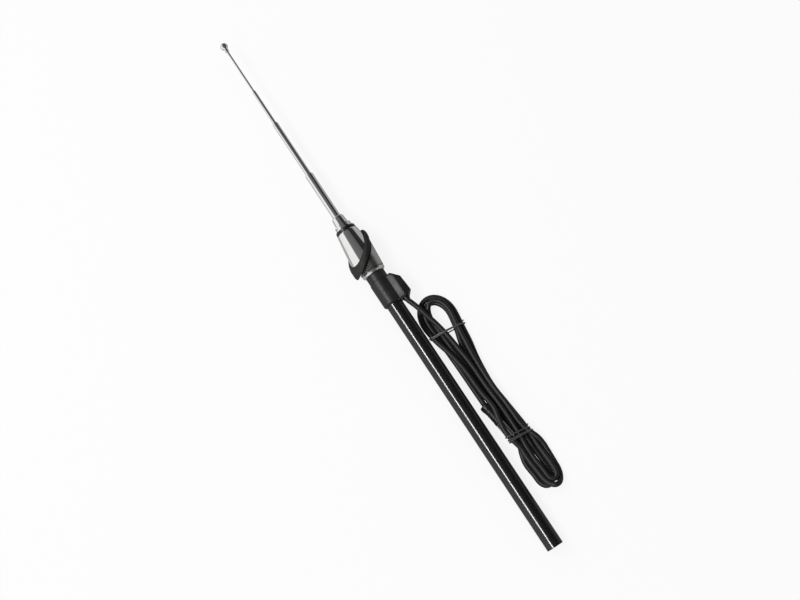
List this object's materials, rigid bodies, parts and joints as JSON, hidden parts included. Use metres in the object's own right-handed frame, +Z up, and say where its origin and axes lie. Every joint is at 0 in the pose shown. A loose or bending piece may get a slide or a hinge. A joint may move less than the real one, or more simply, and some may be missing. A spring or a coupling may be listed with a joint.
{
  "type": "telescopic vehicle radio antenna",
  "caption": "Telescopic radio aerial for a vehicle wing: sliding chrome mast, slanted chrome head with rubber gasket and clamp, black support tube and coaxial lead tied in a hank.",
  "frame": {"origin": "on the surface that the aerial lies on, under the middle of its own footprint, the lead and its plug left out", "axes": "+X along the mast towards the ball, +Z up from the surface, +Y away from the junction box and the hank; the mast's axis rises by about a degree towards the tip, because the head is wider than the tube"},
  "size_m": [0.5772, 0.0632, 0.0325],
  "materials": {
    "bright_chrome": "bright chrome plate on brass tube",
    "head_chrome": "mirror chrome plate on a casting",
    "brass": "plain brass",
    "plated_steel": "bright plated steel",
    "cast_alloy": "satin die-cast alloy",
    "black_gloss": "glossy black coat on the tube",
    "black_moulding": "satin black moulding",
    "cover_plastic": "satin dark grey moulding",
    "black_insulator": "black plastic",
    "black_rubber": "soft black rubber",
    "lead_sheath": "smooth black cable sheath with a soft shine",
    "tie_plastic": "plastic coated tie wire",
    "ivory_plastic": "natural insulating plastic"
  },
  "bodies": {
    "base": {"top_nut": "bright_chrome", "insulator": "black_insulator", "head_cone": "head_chrome", "gasket": "black_rubber", "clamp_plate": "plated_steel", "lower_pad": "black_rubber", "clamp_wedge": "cast_alloy", "ring_nut": "plated_steel", "carrier_tube": "brass", "outer_tube": "black_gloss", "end_plug": "black_insulator", "sleeve": "black_moulding", "box_cover": "cover_plastic", "contact_tongue": "brass", "cable_gland": "black_insulator", "cable_lead": "lead_sheath", "cable_hank": "lead_sheath", "upper_tie": "tie_plastic", "lower_tie": "tie_plastic", "plug_grip": "black_insulator", "plug_contact": "plated_steel", "plug_insulator": "ivory_plastic", "plug_pin": "plated_steel"},
    "section_4": {"mast_tube_4": "bright_chrome", "tube_4_foot": "brass"},
    "section_3": {"mast_tube_3": "bright_chrome", "tube_3_foot": "brass"},
    "section_2": {"mast_tube_2": "bright_chrome", "tube_2_foot": "brass"},
    "tip": {"tip_ball": "bright_chrome", "mast_rod": "bright_chrome", "rod_foot": "brass"}
  },
  "joints": [
    {"name": "slide_4", "type": "slide", "parent": "base", "child": "section_4", "axis": [0.9998, 0, 0.021], "range_m": [-0.0475, 0.269]},
    {"name": "slide_3", "type": "slide", "parent": "section_4", "child": "section_3", "axis": [0.9998, 0, 0.021], "range_m": [-0.0595, 0.25]},
    {"name": "slide_2", "type": "slide", "parent": "section_3", "child": "section_2", "axis": [0.9998, 0, 0.021], "range_m": [-0.037, 0.262]},
    {"name": "slide_1", "type": "slide", "parent": "section_2", "child": "tip", "axis": [0.9998, 0, 0.021], "range_m": [-0.0485, 0.241]}
  ]
}
